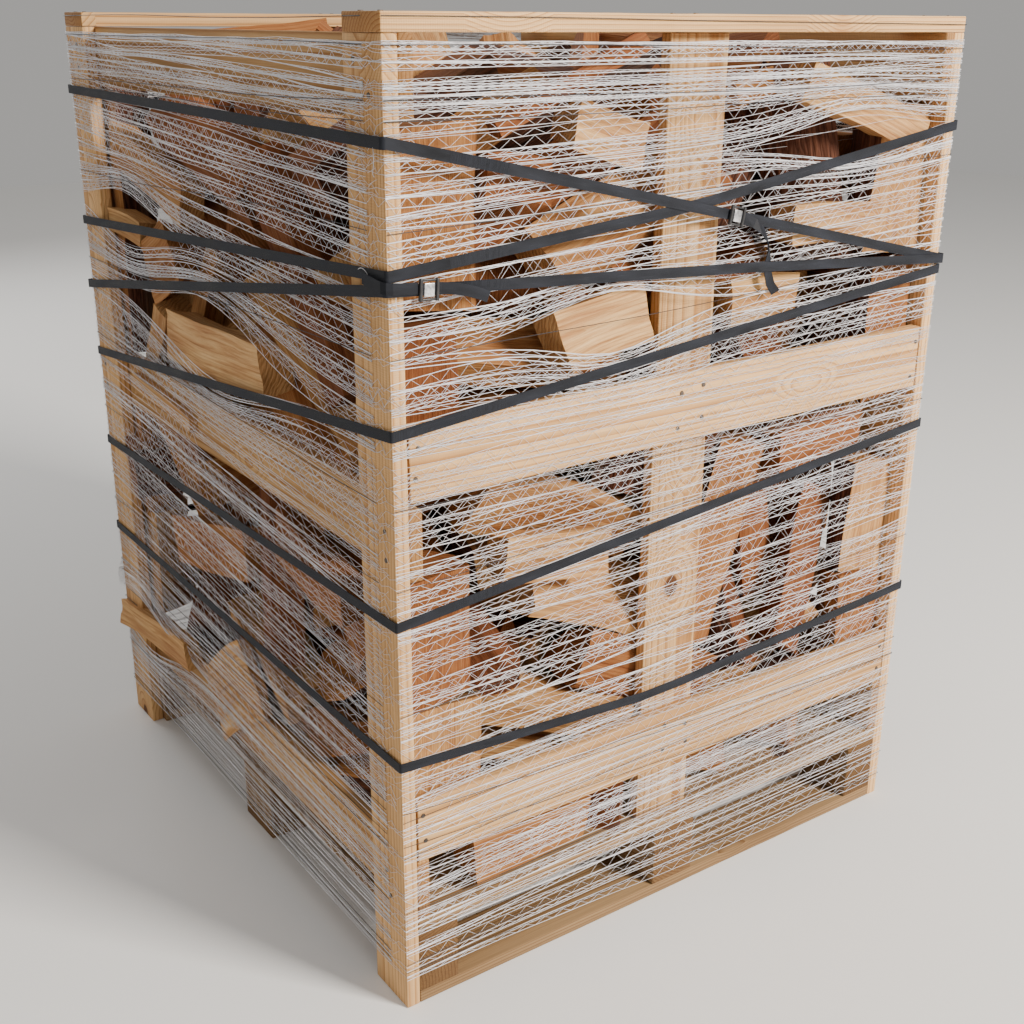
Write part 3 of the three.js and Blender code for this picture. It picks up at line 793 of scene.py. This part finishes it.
def thread_finish(name, colour, rough):
    """Shiny drawn plastic thread, with paler and dirtier stretches."""
    material = bpy.data.materials.new(name)
    tree, shader = node_tree(material)
    place = add_node(tree, "ShaderNodeTexCoord").outputs["Object"]
    dust = add_node(tree, "ShaderNodeTexNoise", {"Vector": place, "Scale": 9.0, "Detail": 3.0}).outputs["Fac"]
    darker = tuple(channel * 0.72 for channel in colour[:3]) + (1,)
    tree.links.new(ramp(tree, dust, (0.3, darker), (0.65, colour)), shader.inputs["Base Color"])
    shader.inputs["Roughness"].default_value = rough
    return material


white_thread = thread_finish("white_thread", (0.80, 0.80, 0.84, 1), 0.38)
black_thread = thread_finish("black_thread", (0.02, 0.02, 0.022, 1), 0.5)

THREAD_STEP = 0.038
THREAD_THICK = 0.00074
LACE_PITCH = 0.0080
LACE_THICK = 0.00052
WIDEST_LACE = 0.019
NET_BANDS = [("upper", range(0, 4)), ("middle", range(4, 8)), ("lower", range(8, len(TURNS)))]
for band, turns in NET_BANDS:
    threads, laces = [], []
    for turn in turns:
        out = 0.0007 + 0.00012 * (turn % 3)
        shifts = [corner_shifts(turn, thread) for thread in range(THREADS)]
        for thread in range(THREADS):
            swell = random.Random(turn * 100 + thread).choice((0.65, 0.8, 1.0, 1.2, 1.8))
            line = []
            for way in stations(THREAD_STEP):
                place = thread_place(turn, thread, way, out, shifts[thread])
                uneven = 1 + 0.5 * noise.noise(place * 11 + Vector((thread, turn, 0)))
                line.append((place, swell * uneven))
            threads.append(line)
            if thread == THREADS - 1 or thread % 5 == 2:
                continue
            # The zigzag ends where the two threads are spread wider than it reaches.
            line = []
            for number, way in enumerate(stations(LACE_PITCH * (1.6 if turn % 2 else 2.0))):
                lower = thread_place(turn, thread, way, out + 0.0003, shifts[thread])
                upper = thread_place(turn, thread + 1, way, out + 0.0003, shifts[thread + 1])
                if (upper - lower).length < WIDEST_LACE:
                    line.append((lower.lerp(upper, 0.02 if number % 2 else 0.98), 1.0))
                elif line:
                    laces.append(line[:WHOLE_ROUND])
                    line = []
            if line:
                laces.append(line)
    thread_curve(f"net_threads_{band}", threads, THREAD_THICK, white_thread)
    thread_curve(f"net_laces_{band}", [line for line in laces if len(line) > 2], LACE_THICK, white_thread)

# Loose ends that curl out of the net: the side, where they start along it and up, how far they reach along
# and up, and the curl's radius, in millimetres, and its number of turns.
LOOSE_CURLS = [
    ("left", 62, 966, -34, -9, 8, 1.2), ("left", 12, 1118, 4, -58, 4, 1.4), ("front", 6, 962, 6, -44, 5, 1.3),
    ("front", 556, 1012, 14, -48, 7, 1.3), ("front", 420, 566, 34, 10, 6, 1.2), ("front", 300, 1150, 24, -16, 6, 1.5),
]
CURL_POINTS = 26
lines = []
for side, along, up, reach_along, reach_up, radius, turns in LOOSE_CURLS:
    line = []
    for i in range(CURL_POINTS):
        share = i / (CURL_POINTS - 1)
        angle = share * turns * 2 * math.pi
        run = along + reach_along * share + radius * share * math.sin(angle)
        rise = up + reach_up * share + radius * share * (1 - math.cos(angle))
        out = 1.5 + 4.0 * math.sin(share * math.pi)
        line.append((on_crate(-out, run, rise) if side == "left" else on_crate(run, -out, rise), 1.0))
    lines.append(line)
thread_curve("net_loose_curls", lines, THREAD_THICK, white_thread)

# Corner heights of the black marker threads, in millimetres.
MARKERS = [
    (1225, 1219, 1222, 1224), (1196, 1190, 1196, 1200), (1142, 1150, 1140, 1130), (1124, 1128, 1120, 1118),
    (1010, 1046, 1020, 990), (872, 905, 880, 850), (700, 690, 720, 720), (600, 640, 600, 590),
    (436, 468, 440, 420), (300, 262, 280, 300), (285, 290, 285, 280), (252, 205, 230, 250),
    (236, 262, 240, 230), (150, 160, 150, 140), (70, 78, 70, 66), (58, 40, 56, 60),
]
MARKER_THICK = 0.0010
lines = []
for number, heights in enumerate(MARKERS):
    line = []
    for way in stations(THREAD_STEP):
        place = beside(way, 0.0016)
        wander = noise.noise(Vector((place.x * 2, place.y * 2, number * 3.7)))
        place.z = foot.z + corner_mix(heights, way) / 1000 + 0.007 * wander
        line.append((place, 1.0))
    lines.append(line)
markers = thread_curve("net_black_threads", lines, MARKER_THICK, black_thread)
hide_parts("net_wrap")

# ---- Straps and buckles ------------------------------------------------------------------------------------
# Six tight bands of dark embossed plastic strapping, 13 mm wide, over the net. Two are closed on the front
# with a ladder buckle: black plastic bars and a bright pressed steel plate that the loose end passes under.

STRAP_WIDE = 0.013
STRAP_THICK = 0.0008
STRAP_OUT = 0.0026
STRAP_LAYER = 0.0013

# Corner heights, kinks on the front as (along, height), and how many straps it lies over, in millimetres.
STRAPS = [
    ((1103, 901, 1000, 1115), (), 2),
    ((966, 1087, 1010, 909), ((427, 1009),), 1),
    ((951, 901, 860, 803), ((537, 925),), 3),
    ((788, 886, 790, 688), (), 0),
    ((555, 652, 600, 529), (), 0),
    ((366, 383, 375, 368), ((409, 346),), 0),
]


def embossed_strap():
    """Drawn plastic with a fine waffle of small squares, dusty, read along the strap from its band attribute."""
    material = bpy.data.materials.new("embossed_strap")
    tree, shader = node_tree(material)
    band = add_node(tree, "ShaderNodeAttribute", attribute_name="band").outputs["Vector"]
    waffle = add_node(tree, "ShaderNodeTexChecker", {"Vector": band, "Scale": 1000.0}).outputs["Fac"]
    dust = add_node(tree, "ShaderNodeTexNoise", {"Vector": scaled(tree, band, (14, 60, 1)), "Scale": 1.0,
                                                 "Detail": 4.0}).outputs["Fac"]
    scuffs = add_node(tree, "ShaderNodeTexNoise", {"Vector": scaled(tree, band, (30, 900, 1)), "Scale": 1.0,
                                                   "Detail": 2.0}).outputs["Fac"]
    colour = ramp(tree, dust, (0.3, (0.008, 0.009, 0.012, 1)), (0.7, (0.022, 0.025, 0.034, 1)))
    colour = blend(tree, "MIX", ramp(tree, scuffs, (0.62, (0, 0, 0, 1)), (0.8, (0.5, 0.5, 0.5, 1))), colour,
                   (0.06, 0.066, 0.082, 1))
    tree.links.new(colour, shader.inputs["Base Color"])
    tree.links.new(ramp(tree, dust, (0.3, (0.42, 0.42, 0.42, 1)), (0.7, (0.6, 0.6, 0.6, 1))),
                   shader.inputs["Roughness"])
    shader.inputs["Specular IOR Level"].default_value = 0.16
    bump = add_node(tree, "ShaderNodeBump", {"Height": waffle, "Strength": 0.35, "Distance": 0.0003})
    tree.links.new(bump.outputs["Normal"], shader.inputs["Normal"])
    return material


strap_finish = embossed_strap()


def strip(bm, stops):
    """A flat strip through stops, each a middle and the direction to its upper edge."""
    band = bm.verts.layers.float_vector.get("band") or bm.verts.layers.float_vector.new("band")
    pair, before, run = [], None, 0.0
    for middle, up in stops:
        half = up.normalized() * STRAP_WIDE / 2
        if before is None:
            pair = [bm.verts.new(middle - half), bm.verts.new(middle + half)]
            bm.edges.new(pair)
        else:
            run += (middle - before).length
            grown = bmesh.ops.extrude_edge_only(bm, edges=[bm.edges.get(pair)])["geom"]
            ends = [v for v in grown if isinstance(v, bmesh.types.BMVert)]
            pair = sorted(ends, key=lambda v: (v.co - pair[0].co).length)
            pair[0].co, pair[1].co = middle - half, middle + half
        for vertex, across in zip(pair, (0, STRAP_WIDE)):
            vertex[band] = Vector((run, across, 0))
        before = middle


def strap_height(strap, way):
    heights, kinks, _ = STRAPS[strap]
    if kinks and way % ROUND < WIDE:
        (along, height), = kinks
        kink = along / 1000
        if way < kink:
            return (heights[0] + (height - heights[0]) * way / kink) / 1000
        return (height + (heights[1] - height) * (way - kink) / (WIDE - kink)) / 1000
    return corner_mix(heights, way) / 1000


def strap_out(strap):
    return STRAP_OUT + STRAPS[strap][2] * STRAP_LAYER


CORNER_TURNS = 6


def strap_stops(strap):
    """The way round the crate in short steps, turning round each corner on the strap's stand-off."""
    out = strap_out(strap)
    posts = [(0, 0, 180), (WIDE, 0, -90), (WIDE, DEEP, 0), (0, DEEP, 90)]
    stops = []
    for side in range(4):
        start, stop = CORNERS[side], CORNERS[side + 1]
        count = 12
        for i in range(1, count):
            way = start + (stop - start) * i / count
            middle = beside(way, out)
            middle.z = foot.z + strap_height(strap, way)
            slope = (strap_height(strap, way + 0.01) - strap_height(strap, way - 0.01)) / 0.02
            along = (beside(way + 0.01, out) - beside(way - 0.01, out)).normalized()
            stops.append((middle, Vector((0, 0, 1)) - along * slope))
        x, y, _ = posts[(side + 1) % 4]
        first = (-90, 0, 90, 180)[side]
        height = foot.z + strap_height(strap, stop - 0.0001)
        for i in range(CORNER_TURNS + 1):
            angle = math.radians(first + 90 * i / CORNER_TURNS)
            middle = foot + Vector((x + out * math.cos(angle), y + out * math.sin(angle), 0))
            middle.z = height
            stops.append((middle, Vector((0, 0, 1))))
    return stops + stops[:1]


def at_front(along, out, height):
    return on_crate(along, -out, height)


# The loose ends past the buckles and the overlap on the near corner: along the front, stand-off, height,
# and the direction to the strip's upper edge.
LOOSE_ENDS = {
    0: [[((488, 8.0, 995), (0.2, 0, 1)), ((512, 8.6, 989), (0.35, 0, 1)), ((530, 11, 982), (0.6, 0.1, 0.9)),
         ((545, 13, 970), (0.8, 0.5, 0.5)), ((556, 11.5, 955), (0.7, 0.9, 0.2)), ((562, 8, 942), (0.9, 0.6, 0)),
         ((564, 5.2, 930), (1, 0.2, 0)), ((566, 4.9, 915), (1, 0, 0.1)), ((571, 5.5, 900), (1, -0.2, 0.3)),
         ((580, 7.5, 888), (0.9, -0.3, 0.5))]],
    2: [[((34, 9.2, 950), (0, 0, 1)), ((62, 9.2, 949), (0.05, 0, 1)), ((78, 11.5, 947), (0.15, 0, 1)),
         ((94, 14, 943.5), (0.27, 0, 1)), ((108, 15, 939), (0.36, 0, 1)), ((120, 14.5, 934), (0.42, 0, 1))],
        [((33, 8.1, 951.5), (0, 0, 1)), ((14, 8.1, 952.5), (0, 0, 1)), ((2, 8.1, 953.5), (0, 0, 1)),
         ((-5, 5.4, 954), (0, 0, 1)), ((-8.1, -1, 955), (0, 0, 1)), ((-8.1, -18, 957), (0, 0, 1)),
         ((-8.6, -40, 959.5), (0, 0, 1))]],
}

for strap in range(len(STRAPS)):
    bm = bmesh.new()
    strip(bm, strap_stops(strap))
    for stops in LOOSE_ENDS.get(strap, []):
        strip(bm, [(at_front(*place), Vector((up[0], up[1], up[2]))) for place, up in stops])
    bmesh.ops.remove_doubles(bm, verts=bm.verts, dist=0.00001)
    bmesh.ops.recalc_face_normals(bm, faces=bm.faces)
    piece = make_piece(f"strap_{strap + 1}_band", bm, strap_finish)
    wall = piece.modifiers.new("wall", "SOLIDIFY")
    wall.thickness = STRAP_THICK
    wall.offset = 0
    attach(piece, "root")
    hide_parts(f"strap_{strap + 1}")


def plain_finish(name, colour, metallic, rough, grit):
    """Moulded or pressed: an even colour with small pits and scratches."""
    material = bpy.data.materials.new(name)
    tree, shader = node_tree(material)
    place = add_node(tree, "ShaderNodeTexCoord").outputs["Object"]
    marks = add_node(tree, "ShaderNodeTexNoise", {"Vector": place, "Scale": grit, "Detail": 5.0}).outputs["Fac"]
    darker = tuple(channel * 0.6 for channel in colour[:3]) + (1,)
    tree.links.new(ramp(tree, marks, (0.35, darker), (0.6, colour)), shader.inputs["Base Color"])
    shader.inputs["Metallic"].default_value = metallic
    shader.inputs["Roughness"].default_value = rough
    bump = add_node(tree, "ShaderNodeBump", {"Height": marks, "Strength": 0.2, "Distance": 0.0003})
    tree.links.new(bump.outputs["Normal"], shader.inputs["Normal"])
    return material


black_plastic = plain_finish("black_plastic", (0.022, 0.022, 0.024, 1), 0.0, 0.38, 260.0)
pressed_steel = plain_finish("pressed_steel", (0.72, 0.73, 0.74, 1), 1.0, 0.32, 340.0)


def rounded_bar(bm, low, high, rounding, material_index):
    """A box with rounded edges, added to the mesh."""
    made = bmesh.ops.create_cube(bm, size=1.0)["verts"]
    place = Matrix.Translation((low + high) / 2) @ Matrix.Diagonal((*(high - low), 1.0))
    bmesh.ops.transform(bm, matrix=place, verts=made)
    edges = {e for v in made for e in v.link_edges}
    for patch in {f for v in made for f in v.link_faces}:
        patch.material_index = material_index
    bmesh.ops.bevel(bm, geom=list(edges), offset=rounding, segments=3, profile=0.5, affect="EDGES", material=-1)


# End bars, edge rails and plate of a buckle, in millimetres from its middle: along, out and up.
BUCKLE_BARS = [((-12.5, 0, -12.5), (-8.5, 4, 12.5)), ((8.5, 0, -12.5), (12.5, 4, 12.5)),
               ((-9, 0.3, -12), (9, 3, -9.2)), ((-9, 0.3, 9.2), (9, 3, 12))]
BUCKLE_PLATE = ((-6.6, 1.6, -7.5), (6.6, 3.4, 7.5))
for node, along, strap in (("buckle_front_left", 46, 2), ("buckle_front_middle", 501, 0)):
    bm = bmesh.new()
    for low, high in BUCKLE_BARS:
        rounded_bar(bm, Vector(low) / 1000, Vector(high) / 1000, 0.0011, 0)
    rounded_bar(bm, Vector(BUCKLE_PLATE[0]) / 1000, Vector(BUCKLE_PLATE[1]) / 1000, 0.0007, 1)
    slope = (strap_height(strap, along / 1000 + 0.01) - strap_height(strap, along / 1000 - 0.01)) / 0.02
    tilt = Matrix.Rotation(-math.atan(slope), 4, "Y")
    flip = Matrix.Diagonal((1, -1, 1, 1))
    out = strap_out(strap) * 1000 + 0.8
    place = at_front(along, out, strap_height(strap, along / 1000) * 1000)
    bmesh.ops.transform(bm, matrix=Matrix.Translation(place) @ tilt @ flip, verts=bm.verts)
    bmesh.ops.reverse_faces(bm, faces=bm.faces)
    for patch in bm.faces:
        patch.smooth = True
    piece = make_piece(node + "_frame", bm, black_plastic, pressed_steel)
    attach(piece, "root")
    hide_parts(node)


# ---- Nails -------------------------------------------------------------------------------------------------
# Flat wire nail heads, two where each rail meets a post, driven flush with slight dents, one joined piece.

NAIL_RADIUS = 0.0036
NAIL_PROUD = 0.0008
nail_steel = plain_finish("nail_steel", (0.16, 0.13, 0.11, 1), 0.9, 0.55, 500.0)
nails = bmesh.new()


def nail(place, facing):
    made = bmesh.ops.create_cone(nails, cap_ends=True, segments=12, radius1=NAIL_RADIUS, radius2=NAIL_RADIUS * 0.8,
                                 depth=NAIL_PROUD * 2)["verts"]
    turn = facing.to_track_quat("Z", "Y").to_matrix().to_4x4()
    bmesh.ops.transform(nails, matrix=Matrix.Translation(place) @ turn, verts=made)


draw = random.Random(5)
for end, outward in (("front", -1), ("back", 1)):
    facing = Vector((0, outward, 0))
    for level in ("low", "mid"):
        low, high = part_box(f"end_rail_{end}_{level}")
        face_y = low.y if outward < 0 else high.y
        posts = [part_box(f"mid_post_{end}")]
        columns = [(posts[0][0].x + posts[0][1].x) / 2 - 0.02, (posts[0][0].x + posts[0][1].x) / 2 + 0.022,
                   low.x + 0.01, high.x - 0.01]
        for x in columns:
            for share in (0.28, 0.72):
                height = low.z + (high.z - low.z) * share + draw.uniform(-0.006, 0.006)
                nail(Vector((x + draw.uniform(-0.003, 0.003), face_y, height)), facing)
for side, outward in (("left", -1), ("right", 1)):
    facing = Vector((outward, 0, 0))
    for end in ("front", "back"):
        post_low, post_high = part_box(f"corner_post_{end}_{side}")
        face_x = post_low.x if outward < 0 else post_high.x
        for level in ("low", "mid", "top"):
            low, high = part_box(f"side_rail_{side}_{level}")
            for share in (0.3, 0.7):
                along = post_low.y + 0.041 + draw.uniform(-0.02, 0.02)
                nail(Vector((face_x, along, low.z + (high.z - low.z) * share)), facing)
for end in ("front", "back"):
    low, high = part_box(f"top_board_{end}")
    for x in (low.x + 0.012, (low.x + high.x) / 2 - 0.02, high.x - 0.012):
        for share in (0.25, 0.75):
            nail(Vector((x, low.y + (high.y - low.y) * share, high.z)), Vector((0, 0, 1)))
piece = make_piece("nail_heads", nails, nail_steel)
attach(piece, "root")
